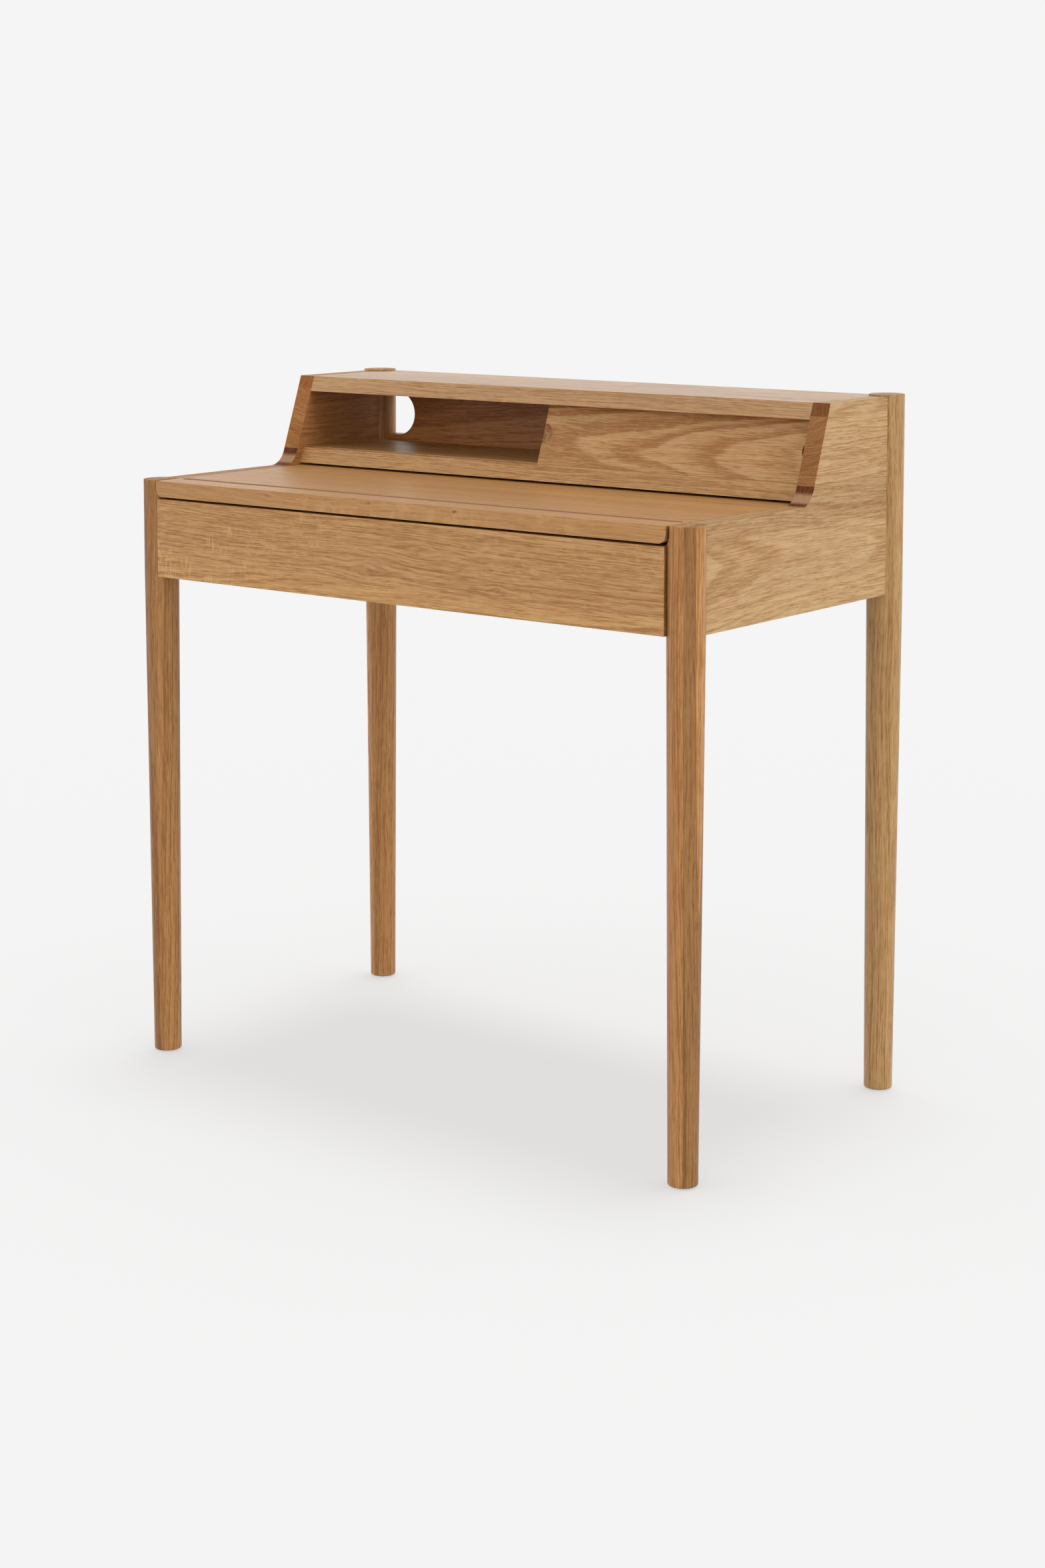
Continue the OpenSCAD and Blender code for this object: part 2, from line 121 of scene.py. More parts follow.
def fibre_noise(tree, place, along, across, second_across=None, detail=2.0, rough=0.5, warp=0.0):
    """Noise drawn out along the fibres: so many waves a metre along and across them."""
    stretched = vector_sum(tree, "MULTIPLY", place, (along, across, second_across or across))
    node = tree.nodes.new("ShaderNodeTexNoise")
    node.inputs["Scale"].default_value = 1.0
    node.inputs["Detail"].default_value = detail
    node.inputs["Roughness"].default_value = rough
    node.inputs["Distortion"].default_value = warp
    tree.links.new(stretched, node.inputs["Vector"])
    return node.outputs


HONEY, PINK = (0.640, 0.375, 0.165, 1.0), (0.600, 0.338, 0.150, 1.0)
SPRING_WOOD = (0.420, 0.178, 0.048, 1.0)
OPEN_PORE, PALE_FIBRE = (0.330, 0.130, 0.030, 1.0), (0.86, 0.60, 0.33, 1.0)
RAY = (0.80, 0.53, 0.27, 1.0)
FEATHER, FEATHER_SHADE = (0.70, 0.44, 0.19, 1.0), (0.80, 0.68, 0.55, 1.0)
KNOT = (0.16, 0.050, 0.018, 1.0)
RUBBED_EDGE = (0.70, 0.46, 0.25, 1.0)
# painted shade: the colour that darkens the worktop's groove, standing in for the shadow inside it
PAINTED_GROOVE_SHADE = (0.36, 0.13, 0.07, 1.0)
MIDDLE = (0.5, 0.5, 0.5)
RINGS_A_METRE = 205.0
PITH_WANDER, RING_WAVES = 0.030, 0.0030
# the comb's layers: waves a metre along the fibres, waves a metre across them, weight
COMB = ((9.0, 640.0, 0.34), (34.0, 620.0, 0.33), (75.0, 1150.0, 0.33))
# how red, green and blue answer to a stave's tone: slope and base
TONE_STEPS = ((0.62, 0.69), (0.68, 0.66), (0.80, 0.60))


def oak_figure():
    """Oiled white oak as a solid: rings round the pith, open pores in the spring wood, rays and streaks.
    Place is measured from the pith, in metres, with x along the fibres."""
    tree = bpy.data.node_groups.new("oak_figure", "ShaderNodeTree")
    face = tree.interface
    face.new_socket(name="Place", in_out="INPUT", socket_type="NodeSocketVector")
    for name, value in (("Tone", 0.5), ("End", 0.0), ("Rings", 1.0), ("Flecks", 0.3),
                        ("Taper", 0.02), ("Pores", 1.0), ("Wander", 1.0)):
        socket = face.new_socket(name=name, in_out="INPUT", socket_type="NodeSocketFloat")
        socket.default_value = value
    for name in ("Stain and painted light", "Cut"):
        face.new_socket(name=name, in_out="INPUT", socket_type="NodeSocketColor")
    face.new_socket(name="Colour", in_out="OUTPUT", socket_type="NodeSocketColor")
    for name in ("Roughness", "Height"):
        face.new_socket(name=name, in_out="OUTPUT", socket_type="NodeSocketFloat")
    given = tree.nodes.new("NodeGroupInput").outputs
    result = tree.nodes.new("NodeGroupOutput").inputs
    place = given["Place"]

    # the trunk isn't straight: the pith wanders slowly, and the rings have small waves
    slow = fibre_noise(tree, place, 2.4, 6.0, detail=1.0)["Color"]
    wander = vector_sum(tree, "SUBTRACT", slow, MIDDLE)
    quick = fibre_noise(tree, place, 11.0, 45.0, detail=2.0)["Color"]
    waves = vector_sum(tree, "SUBTRACT", quick, MIDDLE)
    bend = reckon(tree, "MULTIPLY", given["Wander"], PITH_WANDER)
    bent = vector_sum(tree, "MULTIPLY", wander, join(tree, 0.0, bend, bend))
    crooked = vector_sum(tree, "ADD", place, bent)
    waved = vector_sum(tree, "MULTIPLY", waves, (0.0, RING_WAVES, RING_WAVES))
    crooked = vector_sum(tree, "ADD", crooked, waved)
    along, side, up = split(tree, crooked)
    radius = reckon(tree, "SQRT", reckon(
        tree, "ADD", reckon(tree, "MULTIPLY", side, side), reckon(tree, "MULTIPLY", up, up)))
    taper = reckon(tree, "MULTIPLY_ADD", along, given["Taper"], radius)
    years = reckon(tree, "MULTIPLY", taper, RINGS_A_METRE)
    seasons = tree.nodes.new("ShaderNodeTexNoise")
    seasons.noise_dimensions = "1D"
    seasons.inputs["Scale"].default_value = 0.45
    seasons.inputs["Detail"].default_value = 1.0
    tree.links.new(years, seasons.inputs["W"])
    years = reckon(tree, "MULTIPLY_ADD", seasons.outputs["Fac"], 2.6, years)
    share = reckon(tree, "FRACT", years)
    which = reckon(tree, "FLOOR", years)
    year_look = tree.nodes.new("ShaderNodeTexWhiteNoise")
    year_look.noise_dimensions = "1D"
    tree.links.new(which, year_look.inputs["W"])
    spring = reckon(tree, "SUBTRACT", 1.0, ease(tree, share, 0.22, 0.92))
    spring = reckon(tree, "MULTIPLY", spring, ease(tree, share, 0.0, 0.14))
    spring = reckon(tree, "MULTIPLY", spring,
                    reckon(tree, "MULTIPLY_ADD", year_look.outputs["Value"], 0.70, 0.30))
    spring = reckon(tree, "MULTIPLY", spring, given["Rings"])

    # the comb: short thin dashes, dark where the knife opened a pore and pale between,
    # crowded in the spring wood
    comb = reckon(tree, "MULTIPLY", reckon(tree, "SUBTRACT", spring, 0.30), 0.11)
    for long_way, across_way, weight in COMB:
        lines = fibre_noise(tree, crooked, long_way, across_way, detail=1.0)["Fac"]
        comb = reckon(tree, "MULTIPLY_ADD", lines, weight, comb)
    pores = ease(tree, comb, 0.50, 0.61)
    pale = ease(tree, comb, 0.49, 0.40)

    # rays: thin ribbons that run out from the pith; seen flat they are pale flecks, on edge fine lines
    turn = reckon(
        tree, "MULTIPLY", reckon(tree, "ARCTAN2", side, up), reckon(tree, "MAXIMUM", radius, 0.02))
    ribbon = join(tree, along, turn, radius)
    rays = ease(tree, fibre_noise(tree, ribbon, 75.0, 800.0, 42.0, detail=1.0)["Fac"], 0.54, 0.64)
    patches = ease(tree, fibre_noise(tree, place, 9.0, 22.0, detail=1.0)["Fac"], 0.42, 0.62)
    shown = reckon(tree, "MAXIMUM", reckon(tree, "MULTIPLY", patches, given["Flecks"]), given["End"])
    rays = reckon(tree, "MULTIPLY", rays, shown)

    # slow change of colour: brown and pink streaks along the board
    streaks = fibre_noise(tree, crooked, 2.2, 60.0, detail=3.0, rough=0.6)["Fac"]
    bands = fibre_noise(tree, crooked, 1.1, 19.0, detail=1.0)["Fac"]

    ground = blend(tree, ease(tree, bands, 0.36, 0.64), HONEY, PINK)
    streaked = reckon(tree, "MULTIPLY", ease(tree, streaks, 0.44, 0.74), 0.18)
    ground = blend(tree, streaked, ground, SPRING_WOOD)
    ring_depth = reckon(tree, "MULTIPLY_ADD", given["End"], 0.30, 0.42)
    ringed = blend(tree, reckon(tree, "MULTIPLY", spring, ring_depth), ground, SPRING_WOOD)
    pale = reckon(tree, "MULTIPLY", pale, reckon(tree, "MULTIPLY", given["Pores"], 0.36))
    lighter = blend(tree, pale, ringed, PALE_FIBRE)
    open_share = reckon(tree, "MULTIPLY", pores, reckon(tree, "MULTIPLY", given["Pores"], 0.58))
    porous = blend(tree, open_share, lighter, OPEN_PORE)
    flecked = blend(tree, rays, porous, RAY)
    tone = join(tree, *[
        reckon(tree, "MULTIPLY_ADD", given["Tone"], slope, base) for slope, base in TONE_STEPS])
    toned = blend(tree, 1.0, flecked, tone, "MULTIPLY")
    toned = blend(tree, 1.0, toned, given["Stain and painted light"], "MULTIPLY")
    cut_across = blend(tree, 1.0, toned, given["Cut"], "MULTIPLY")
    plug(tree, blend(tree, given["End"], toned, cut_across), result["Colour"])

    roughness = reckon(tree, "MULTIPLY_ADD", pores, 0.20, 0.42)
    roughness = reckon(tree, "MULTIPLY_ADD", given["End"], 0.14, roughness)
    roughness = reckon(tree, "MULTIPLY_ADD", rays, -0.10, roughness, clamp=True)
    plug(tree, roughness, result["Roughness"])
    height = reckon(tree, "MULTIPLY_ADD", pores, -1.0, 1.0)
    height = reckon(tree, "MULTIPLY_ADD", spring, -0.25, height)
    plug(tree, height, result["Height"])
    return tree


def feather_flecks(tree, spot, along, feathers, colour):
    """The pale feathered lines where the drawer front is cut along its rays, below its upper edge:
    from one place to another along it, and how strong."""
    start, stop, strength = feathers
    drawn = vector_sum(tree, "MULTIPLY", spot, (210.0, 0.0, 40.0))
    lines = tree.nodes.new("ShaderNodeTexNoise")
    lines.inputs["Scale"].default_value = 1.0
    lines.inputs["Detail"].default_value = 2.0
    lines.inputs["Roughness"].default_value = 0.5
    lines.inputs["Distortion"].default_value = 1.5
    tree.links.new(drawn, lines.inputs["Vector"])
    line = ease(tree, lines.outputs["Fac"], 0.50, 0.62)
    shade = ease(tree, lines.outputs["Fac"], 0.48, 0.38)
    patch = ease(tree, fibre_noise(tree, spot, 17.0, 30.0, detail=1.0)["Fac"], 0.46, 0.60)
    patch = reckon(tree, "MULTIPLY", patch, ease(tree, split(tree, spot)[2], 0.695, 0.708, 1.0, 0.0))
    reach = ease(tree, along, start * MM, stop * MM, 1.0, 0.0)
    share = reckon(tree, "MULTIPLY", patch, reckon(tree, "MULTIPLY", reach, strength))
    dimmed = reckon(tree, "MULTIPLY", reckon(tree, "MULTIPLY", shade, share), 0.5)
    colour = blend(tree, dimmed, colour, FEATHER_SHADE, "MULTIPLY")
    return blend(tree, reckon(tree, "MULTIPLY", line, share), colour, FEATHER)


FIGURE = oak_figure()
ACROSS_OF = {"X": ("X", "Y", "Z"), "Y": ("Y", "X", "Z"), "Z": ("Z", "X", "Y")}
PITH_REACH = 2.0                # metres of travel that a stave's pith and slip can have
END_GRAIN = (0.62, 0.50, 0.44)
KNOT_SHAPE = (0.42, 1.0, 1.0)   # a knot's eye is longer along the fibres
COAT_ROUGHNESS, PORE_DEPTH = 0.34, 0.00035


def oak(name, grain, staves, split_on, stain_and_painted_light, knots=(), rings=1.0, flecks=0.3, feathers=None,
        taper=0.02, arris=True, gloss=0.34, shine=0.10, bump=0.30, pores=1.0, wander=1.0,
        cuts=None, groove=None):
    """Oak for one board. grain is the way its fibres run. The board is glued from staves, given from
    the lowest up along split_on: (where it ends, pith on the first cross axis, pith on the second,
    slip along the fibres, tone), all in mm but the tone. knots are (x, y, z, size, strength). cuts
    holds the shade of each stave's end grain. groove is the low and high corner of a cut whose
    colour is darkened there as painted shade."""
    finish = bpy.data.materials.new(name)
    finish.use_nodes = True
    tree = finish.node_tree
    shader = tree.nodes["Principled BSDF"]
    coordinates = tree.nodes.new("ShaderNodeTexCoord")
    spot = coordinates.outputs["Object"]
    axes = dict(zip("XYZ", split(tree, spot)))
    order = ACROSS_OF[grain]

    chooser = tree.nodes.new("ShaderNodeValToRGB")
    ramp = chooser.color_ramp
    ramp.interpolation = "CONSTANT"
    ends = [stave[0] * MM for stave in staves]
    low = ends[0] - 0.5
    high = ends[-1] + 0.5
    reach = high - low
    height = reckon(tree, "DIVIDE", reckon(tree, "SUBTRACT", axes[split_on], low), reach)
    tree.links.new(height, chooser.inputs[0])
    for count, (_, first, second, slip, tone) in enumerate(staves):
        position = 0.0 if count == 0 else (ends[count - 1] - low) / reach
        stop = ramp.elements[0] if count == 0 else (
            ramp.elements[1] if count == 1 else ramp.elements.new(position))
        stop.position = position
        stop.color = (slip * MM / PITH_REACH + 0.5, first * MM / PITH_REACH + 0.5,
                      second * MM / PITH_REACH + 0.5, tone)
    if len(staves) == 1:
        ramp.elements.remove(ramp.elements[1])
    cut = (*END_GRAIN, 1.0)
    if cuts:
        shades = tree.nodes.new("ShaderNodeValToRGB")
        shades.color_ramp.interpolation = "CONSTANT"
        tree.links.new(height, shades.inputs[0])
        for count, shade in enumerate(cuts):
            stop = shades.color_ramp.elements[count] if count < 2 else shades.color_ramp.elements.new(1.0)
            stop.position = ramp.elements[count].position
            stop.color = (*shade, 1.0)
        cut = shades.outputs["Color"]
    chosen = vector_sum(tree, "SUBTRACT", chooser.outputs["Color"], MIDDLE)
    pith = vector_sum(tree, "MULTIPLY", chosen, (PITH_REACH, PITH_REACH, PITH_REACH))
    board = join(tree, *[axes[axis] for axis in order])
    darkness = 0.0
    for x, y, z, size, strength in knots:
        centre = dict(zip("XYZ", (x * MM, y * MM, z * MM)))
        centre = tuple(centre[axis] for axis in order)
        away = vector_sum(tree, "SUBTRACT", board, centre)
        reached = vector_sum(tree, "MULTIPLY", away, KNOT_SHAPE)
        length = tree.nodes.new("ShaderNodeVectorMath")
        length.operation = "LENGTH"
        tree.links.new(reached, length.inputs[0])
        near = reckon(tree, "EXPONENT", reckon(tree, "MULTIPLY", reckon(
            tree, "POWER", reckon(tree, "DIVIDE", length.outputs["Value"], size * MM * 2.6), 2.0), -1.0))
        push = vector_sum(tree, "MULTIPLY", away, (0.0, 1.0, 1.0))
        node = tree.nodes.new("ShaderNodeVectorMath")
        node.operation = "SCALE"
        tree.links.new(push, node.inputs[0])
        tree.links.new(reckon(tree, "MULTIPLY", near, -0.75), node.inputs["Scale"])
        board = vector_sum(tree, "ADD", board, node.outputs[0])
        rough_edge = fibre_noise(tree, spot, 420.0, 420.0, detail=2.0)["Fac"]
        core = reckon(tree, "MULTIPLY_ADD", rough_edge, size * MM * 0.9, length.outputs["Value"])
        eye = ease(tree, core, size * MM * 0.55, size * MM * 1.35, strength, 0.0)
        darkness = reckon(tree, "MAXIMUM", darkness, eye)
    place = vector_sum(tree, "SUBTRACT", board, pith)

    normal = split(tree, coordinates.outputs["Normal"])
    across = reckon(tree, "ABSOLUTE", normal["XYZ".index(grain)])
    cut_end = ease(tree, across, 0.03, 0.30)
    group = tree.nodes.new("ShaderNodeGroup")
    group.node_tree = FIGURE
    plug(tree, place, group.inputs["Place"])
    plug(tree, chooser.outputs["Alpha"], group.inputs["Tone"])
    plug(tree, cut_end, group.inputs["End"])
    plug(tree, rings, group.inputs["Rings"])
    plug(tree, flecks, group.inputs["Flecks"])
    plug(tree, taper, group.inputs["Taper"])
    plug(tree, pores, group.inputs["Pores"])
    plug(tree, wander, group.inputs["Wander"])
    plug(tree, cut, group.inputs["Cut"])
    group.inputs["Stain and painted light"].default_value = (*stain_and_painted_light, 1.0)
    colour = group.outputs["Colour"]
    if feathers:
        colour = feather_flecks(tree, spot, axes["X"], feathers, colour)
    if knots:
        colour = blend(tree, darkness, colour, KNOT)
    # painted shade: the colour inside the groove's box is darkened to stand in for the groove's shadow
    if groove:
        low_corner, high_corner = groove
        inside = 1.0
        for axis, lowest, highest in zip("XYZ", low_corner, high_corner):
            above = reckon(tree, "GREATER_THAN", axes[axis], lowest * MM)
            below = reckon(tree, "LESS_THAN", axes[axis], highest * MM)
            inside = reckon(tree, "MULTIPLY", inside, reckon(tree, "MULTIPLY", above, below))
        colour = blend(tree, inside, colour, blend(tree, 1.0, colour, PAINTED_GROOVE_SHADE, "MULTIPLY"))
    if arris:
        flat = reckon(tree, "MAXIMUM", across, reckon(tree, "MAXIMUM", *[
            reckon(tree, "ABSOLUTE", normal["XYZ".index(axis)]) for axis in order[1:]]))
        rubbed = ease(tree, flat, 0.93, 0.80, 0.0, 0.35)
        colour = blend(tree, rubbed, colour, RUBBED_EDGE)
    plug(tree, colour, shader.inputs["Base Color"])
    plug(tree, group.outputs["Roughness"], shader.inputs["Roughness"])
    lumps = tree.nodes.new("ShaderNodeBump")
    lumps.inputs["Strength"].default_value = bump
    lumps.inputs["Distance"].default_value = PORE_DEPTH
    plug(tree, group.outputs["Height"], lumps.inputs["Height"])
    plug(tree, lumps.outputs["Normal"], shader.inputs["Normal"])
    shader.inputs["Specular IOR Level"].default_value = gloss
    shader.inputs["Coat Weight"].default_value = shine
    shader.inputs["Coat Roughness"].default_value = COAT_ROUGHNESS
    return finish


ZINC_DARK, ZINC_PALE = (0.42, 0.41, 0.38, 1.0), (0.66, 0.65, 0.62, 1.0)
FELT_DARK, FELT_PALE = (0.055, 0.042, 0.034, 1.0), (0.17, 0.14, 0.12, 1.0)


def brushed_steel(name):
    """Zinc-plated screw steel, a little streaked and worn."""
    finish = bpy.data.materials.new(name)
    finish.use_nodes = True
    tree = finish.node_tree
    shader = tree.nodes["Principled BSDF"]
    spot = tree.nodes.new("ShaderNodeTexCoord").outputs["Object"]
    mottle = fibre_noise(tree, spot, 900.0, 900.0, detail=3.0)["Fac"]
    plug(tree, blend(tree, mottle, ZINC_DARK, ZINC_PALE), shader.inputs["Base Color"])
    plug(tree, ease(tree, mottle, 0.3, 0.7, 0.28, 0.46), shader.inputs["Roughness"])
    shader.inputs["Metallic"].default_value = 1.0
    return finish


def wool_felt(name):
    """Pressed wool felt for the glides: short matted fibres."""
    finish = bpy.data.materials.new(name)
    finish.use_nodes = True
    tree = finish.node_tree
    shader = tree.nodes["Principled BSDF"]
    spot = tree.nodes.new("ShaderNodeTexCoord").outputs["Object"]
    fluff = fibre_noise(tree, spot, 2600.0, 2600.0, detail=4.0, rough=0.7, warp=1.2)["Fac"]
    plug(tree, blend(tree, fluff, FELT_DARK, FELT_PALE), shader.inputs["Base Color"])
    lumps = tree.nodes.new("ShaderNodeBump")
    lumps.inputs["Strength"].default_value = 0.7
    lumps.inputs["Distance"].default_value = 0.0004
    plug(tree, fluff, lumps.inputs["Height"])
    plug(tree, lumps.outputs["Normal"], shader.inputs["Normal"])
    shader.inputs["Roughness"].default_value = 0.95
    shader.inputs["Sheen Weight"].default_value = 0.35
    return finish


# ---------------------------------------------------------------- pieces

def pick(piece):
    bpy.ops.object.select_all(action="DESELECT")
    piece.select_set(True)
    bpy.context.view_layer.objects.active = piece


WELD = 0.004 * MM
FLAT_ANGLE, CORNER_ANGLE, SMOOTH_ANGLE = 0.4, 28.0, 42.0


def eased(node, finish, arris=0.5):
    """The board with its sharp edges rubbed round by so many mm, in place of the plain one."""
    piece = bpy.data.objects.new("oiled_" + node, nodes[node].data.copy())
    bpy.context.scene.collection.objects.link(piece)
    piece.data.materials.clear()
    piece.data.materials.append(finish)
    pick(piece)
    if piece.data.has_custom_normals:
        bpy.ops.mesh.customdata_custom_splitnormals_clear()
    bpy.ops.object.mode_set(mode="EDIT")
    bpy.ops.mesh.select_all(action="SELECT")
    bpy.ops.mesh.remove_doubles(threshold=WELD)
    bpy.ops.mesh.dissolve_limited(angle_limit=math.radians(FLAT_ANGLE))
    bpy.ops.object.mode_set(mode="OBJECT")
    rounding = piece.modifiers.new("eased_edges", "BEVEL")
    rounding.width = arris * MM
    rounding.segments = 2
    rounding.limit_method = "ANGLE"
    rounding.angle_limit = math.radians(CORNER_ANGLE)
    rounding.use_clamp_overlap = True
    bpy.ops.object.modifier_apply(modifier=rounding.name)
    bpy.ops.object.shade_smooth_by_angle(angle=math.radians(SMOOTH_ANGLE))
    even = piece.modifiers.new("even_faces", "WEIGHTED_NORMAL")
    even.keep_sharp = True
    bpy.ops.object.modifier_apply(modifier=even.name)
    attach(piece, body_holding[node])
    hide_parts(node)
    return piece


def finish_node(node, finish):
    """A part whose made shape is right keeps it, and takes the finish."""
    mesh = nodes[node].data
    mesh.materials.clear()
    mesh.materials.append(finish)


LEG_X, LEG_Y = 408.0, 216.0     # the legs' centre lines
END = 2000.0                    # a last stave runs on past the board
GLUE_LINE = 0.8

# the stain of each board; the left side panel's also holds painted shade and the right's a little painted
# sheen
FRONT = (0.641, 0.573, 0.446)
ROOF = (0.545, 0.495, 0.365)
FLOOR_BOARD = (0.62, 0.553, 0.392)
# painted shade: the left side panel's colour is darker and more orange than the right's, standing in for
# the dim light inside the shelf box
# painted sheen: the right side panel's colour has its blue raised a little, standing in for the reflection
# its low gloss leaves out; the rest is stain
SIDE_STAIN_AND_PAINTED_SHEEN, LEFT_SIDE_WITH_PAINTED_SHADE = (0.617, 0.648, 0.675), (0.54, 0.43, 0.32)
LEG, PALE_LEG = (0.54, 0.43, 0.265), (0.575, 0.555, 0.435)
TOP_BOARD = (0.58, 0.50, 0.36)
BACK_BOARD, LOWER_BACK = (0.52, 0.355, 0.215), (0.57, 0.46, 0.32)
DOOR = (0.70, 0.665, 0.56)

# the shade of the end grain: leg tops, and the side panels' staves from the lowest up
LEG_CUT = (0.90, 0.90, 0.92)
REAR_RIGHT_CUT, REAR_LEFT_CUT = (0.80, 0.83, 0.87), (0.88, 1.12, 1.45)
LEFT_CUTS = [(0.32, 0.20, 0.18)] * 2 + [(0.78, 0.69, 0.60), (0.70, 0.55, 0.47)]
RIGHT_CUTS = [(0.30, 0.135, 0.075)] * 2 + [(0.605, 0.43, 0.30), (0.42, 0.245, 0.158)]


def legs():
    """Each leg is glued up from two or three lengths, which show as upright bands of unlike colour."""
    right, left, front, rear = LEG_X, -LEG_X, -LEG_Y, LEG_Y
    for place, split_on, stain_and_painted_light, rings, cut, staves in (
            ("front_right", "X", LEG, 1.0, LEG_CUT, [
                (right + 4.2, right - 52.0, front - 30.0, 40.0, 0.58),
                (right + 4.2 + GLUE_LINE, right + 90.0, front, 0.0, 1.0),
                (right + 15.5, right - 18.0, front - 90.0, -160.0, 0.02),
                (END, right + 25.0, front + 50.0, -60.0, 0.80)]),
            ("front_left", "X", LEG, 1.0, LEG_CUT, [
                (left + 1.0, left - 60.0, front + 40.0, 10.0, 0.20),
                (END, left + 55.0, front + 60.0, 90.0, 0.46)]),
            ("rear_right", "Y", PALE_LEG, 0.7, REAR_RIGHT_CUT, [
                (rear - 11.0, right - 40.0, rear - 60.0, -30.0, 0.42),
                (rear - 11.0 + GLUE_LINE, right + 80.0, rear, 0.0, 1.25),
                (END, right - 70.0, rear + 20.0, 70.0, 0.46)]),
            ("rear_left", "X", LEG, 0.8, REAR_LEFT_CUT, [
                (left - 9.0, left - 48.0, rear - 60.0, -90.0, 0.78),
                (END, left + 60.0, rear + 50.0, 20.0, 0.38)])):
        wood = oak("oak_leg_" + place, "Z", staves, split_on, stain_and_painted_light, arris=False,
                   cuts=[cut] * len(staves), rings=rings)
        eased("leg_" + place, wood, arris=1.0)


def side_panels():
    """Each panel is edge-glued from four staves."""
    # painted shade: the left panel's colour stands in for the shade inside the shelf box
    # painted sheen: the right panel's colour holds a little of it, in its blue
    for side, sign, stain_and_painted_light, cuts in (("left", -1.0, LEFT_SIDE_WITH_PAINTED_SHADE, LEFT_CUTS), ("right", 1.0, SIDE_STAIN_AND_PAINTED_SHEEN, RIGHT_CUTS)):
        wood = oak("oak_side_painted_light_" + side, "Y", [
            (720.4, sign * 330.0, 690.0, 20.0, 0.64),
            (765.5, sign * 300.0, 650.0, 130.0, 0.45),
            (848.5, sign * 340.0, 930.0, -80.0, 0.66),
            (END, sign * 520.0, 870.0, 60.0, 0.56)],
            "Z", stain_and_painted_light, taper=0.03, wander=0.7, cuts=cuts, flecks=0.15,
            rings=0.8, pores=0.85, gloss=0.12, shine=0.0)
        eased("side_panel_" + side, wood, arris=0.6)


def boards():
    """The worktop, the drawer front, the shelf box and the door."""
    eased("worktop", oak("oak_worktop", "X", [
        (-150.0, -120.0, 560.0, 0.0, 0.60),
        (-60.0, -300.0, 640.0, 150.0, 0.56),
        (30.0, 60.0, 600.0, -160.0, 0.62),
        (END, 120.0, 580.0, 60.0, 0.57)], "Y", TOP_BOARD,
        knots=[(-36.0, -238.0, 746.0, 2.2, 0.6), (96.0, -238.0, 745.0, 2.6, 1.0),
               (-202.0, -238.0, 744.0, 2.4, 0.3)],
        gloss=0.35, shine=0.16, pores=0.5, rings=0.7, bump=0.10,
        groove=((-388.0, -202.0, 745.0), (388.0, -188.0, 749.6))), arris=0.7)
    eased("drawer_front", oak("oak_drawer_front", "X", [
        (640.0, -190.0, 660.0, 30.0, 0.60),
        (END, -160.0, 590.0, 0.0, 0.50)], "Z", FRONT,
        knots=[(-37.0, -238.0, 664.0, 5.0, 0.35), (-75.0, -238.0, 678.0, 3.0, 0.25),
               (41.0, -238.0, 694.0, 4.0, 0.35), (160.0, -238.0, 656.0, 3.0, 0.3)],
        feathers=(-300.0, -130.0, 0.28), rings=0.9, wander=0.8), arris=0.7)
    eased("shelf_top_board", oak("oak_shelf_top", "X", [
        (110.0, 60.0, 640.0, 30.0, 0.60),
        (END, 190.0, 650.0, -120.0, 0.64)], "Y", ROOF,
        knots=[(-324.0, 57.7, 859.4, 1.6, 0.8)],
        gloss=0.5, shine=0.55, wander=0.5, rings=0.8, bump=0.15), arris=0.6)
    eased("shelf_floor_board", oak("oak_shelf_floor", "X", [
        (120.0, 20.0, 620.0, -70.0, 0.52),
        (END, 190.0, 590.0, 100.0, 0.48)], "Y", FLOOR_BOARD,
        wander=0.5, rings=0.8, gloss=0.45, shine=0.2), arris=0.6)
    eased("shelf_back_board", oak(
        "oak_shelf_back", "X", [(END, 300.0, 830.0, 50.0, 0.40)], "Z", BACK_BOARD))
    eased("lower_back_board", oak(
        "oak_lower_back", "X", [(END, 300.0, 650.0, -50.0, 0.48)], "Z", LOWER_BACK))
    eased("sliding_door", oak(
        "oak_door", "X", [(END, 160.0, 764.0, 20.0, 0.50)], "Z", DOOR,
        taper=-0.040, rings=1.8, wander=0.35))


def inner_parts():
    """The plain pieces out of sight: crosswise ones first, then those that run front to back."""
    inside = oak("oak_inside_x", "X", [(END, 60.0, 600.0, 0.0, 0.55)], "Y", TOP_BOARD)
    for node in ("front_rail", "worktop_batten", "drawer_back", "drawer_bottom", "stop_blocks"):
        eased(node, inside, arris=0.4)
    inside_y = oak("oak_inside_y", "Y", [
        (0.0, -300.0, 600.0, 0.0, 0.55), (END, 300.0, 600.0, 90.0, 0.6)], "X", TOP_BOARD)
    for node in ("worktop_runner_left", "worktop_runner_right", "drawer_runner_left",
                 "drawer_runner_right", "drawer_side_left", "drawer_side_right"):
        eased(node, inside_y, arris=0.4)


def pegs_screws_and_glides():
    # the pegs take the right side panel's colour, with its little painted sheen
    peg = oak("oak_peg", "X", [(END, 60.0, 600.0, 0.0, 0.3)], "Y", SIDE_STAIN_AND_PAINTED_SHEEN, arris=False)
    for node in ("frame_dowels", "drawer_dowels"):
        finish_node(node, peg)
    steel = brushed_steel("zinc_screw")
    for node in ("runner_screws", "batten_screws", "drawer_bottom_screws"):
        finish_node(node, steel)
    finish_node("felt_glides", wool_felt("brown_felt"))


legs()
side_panels()
boards()
inner_parts()
pegs_screws_and_glides()


# ---------------------------------------------------------------- floor, light and camera

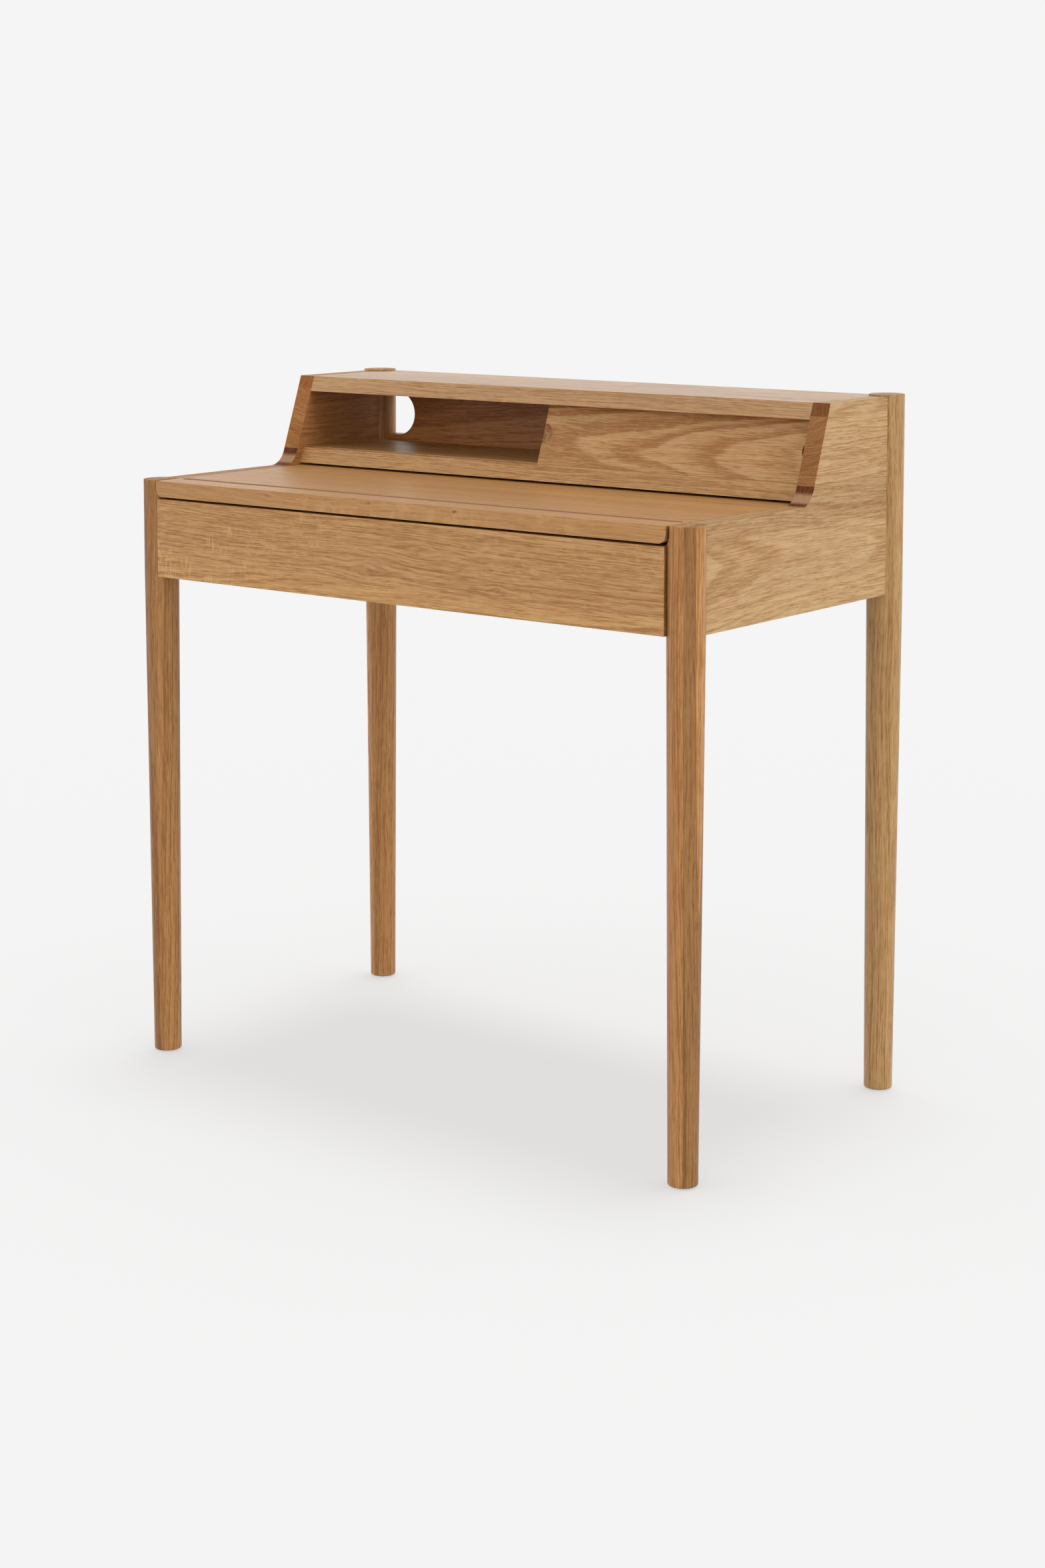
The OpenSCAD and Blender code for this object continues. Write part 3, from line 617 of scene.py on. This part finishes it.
BACKGROUND = 0.913
TOP, SIDE_LIGHT, FRONT_LIGHT = 0.45, 1.45, 0.95
TOP_FROM = Vector((-0.10, 0.35, 1.0)).normalized()
SIDE_FROM = Vector((0.86, 0.10, 0.50)).normalized()
FRONT_FROM = Vector((0.05, -0.90, 0.12)).normalized()
FLOOR_FROM = Vector((-0.03, 0.12, 1.0)).normalized()
FLOOR_PALENESS, FLOOR_SUN_SHARE = 0.30, 0.13
FLOOR_SIZE = 160.0
LENS, SHIFT = 62.495, -0.20
EYE = (2.0866, -2.6808, 1.1070)
LOOK_DOWN, TURN = 5.685, 37.734


def paper_floor():
    """A sheet of white paper that glows a little, so that the shadows stay light."""
    bpy.ops.object.select_all(action="DESELECT")
    bpy.ops.mesh.primitive_plane_add(size=FLOOR_SIZE, location=(0.0, 0.0, 0.0))
    floor = bpy.context.object
    floor.name = "studio_floor"
    finish = bpy.data.materials.new("matt_white_paper")
    finish.use_nodes = True
    shader = finish.node_tree.nodes["Principled BSDF"]
    shader.inputs["Base Color"].default_value = (FLOOR_PALENESS, FLOOR_PALENESS, FLOOR_PALENESS, 1.0)
    shader.inputs["Roughness"].default_value = 1.0
    shader.inputs["Specular IOR Level"].default_value = 0.0
    shader.inputs["Emission Color"].default_value = (1.0, 1.0, 1.0, 1.0)
    glow = BACKGROUND * (1.0 - FLOOR_PALENESS - FLOOR_SUN_SHARE)
    shader.inputs["Emission Strength"].default_value = glow
    floor.data.materials.append(finish)
    floor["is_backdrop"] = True
    return floor


def soft_sun(name, comes_from, strength, spread):
    data = bpy.data.lights.new(name, "SUN")
    data.energy = strength
    data.angle = math.radians(spread)
    lamp = bpy.data.objects.new(name, data)
    lamp.rotation_euler = comes_from.to_track_quat("Z", "Y").to_euler()
    bpy.context.scene.collection.objects.link(lamp)
    return lamp


def studio():
    """White all round, three soft suns that light the desk alone, and one that lights the floor alone."""
    floor = paper_floor()
    world = bpy.data.worlds.new("studio_white")
    bpy.context.scene.world = world
    world.use_nodes = True
    sky = world.node_tree.nodes["Background"]
    sky.inputs["Color"].default_value = (1.0, 1.0, 1.0, 1.0)
    sky.inputs["Strength"].default_value = BACKGROUND
    desk_only = bpy.data.collections.new("lit_desk")
    floor_only = bpy.data.collections.new("lit_floor")
    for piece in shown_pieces():
        desk_only.objects.link(piece)
    floor_only.objects.link(floor)
    floor_strength = BACKGROUND * FLOOR_SUN_SHARE * math.pi / (FLOOR_PALENESS * FLOOR_FROM.z)
    for lamp, lit in ((soft_sun("top_light", TOP_FROM, TOP, 50.0), desk_only),
                      (soft_sun("side_light", SIDE_FROM, SIDE_LIGHT, 40.0), desk_only),
                      (soft_sun("front_light", FRONT_FROM, FRONT_LIGHT, 50.0), desk_only),
                      (soft_sun("floor_light", FLOOR_FROM, floor_strength, 20.0), floor_only)):
        lamp.light_linking.receiver_collection = lit
        lamp.visible_glossy = lamp.name == "top_light"
    bpy.context.scene.view_settings.view_transform = "Standard"


def camera():
    data = bpy.data.cameras.new("studio_camera")
    data.sensor_width = 36.0
    data.lens = LENS
    data.shift_y = SHIFT
    data.clip_end = 200.0
    eye = bpy.data.objects.new("studio_camera", data)
    eye.location = EYE
    eye.rotation_euler = (math.radians(90.0 - LOOK_DOWN), 0.0, math.radians(TURN))
    bpy.context.scene.collection.objects.link(eye)
    bpy.context.scene.camera = eye


studio()
camera()
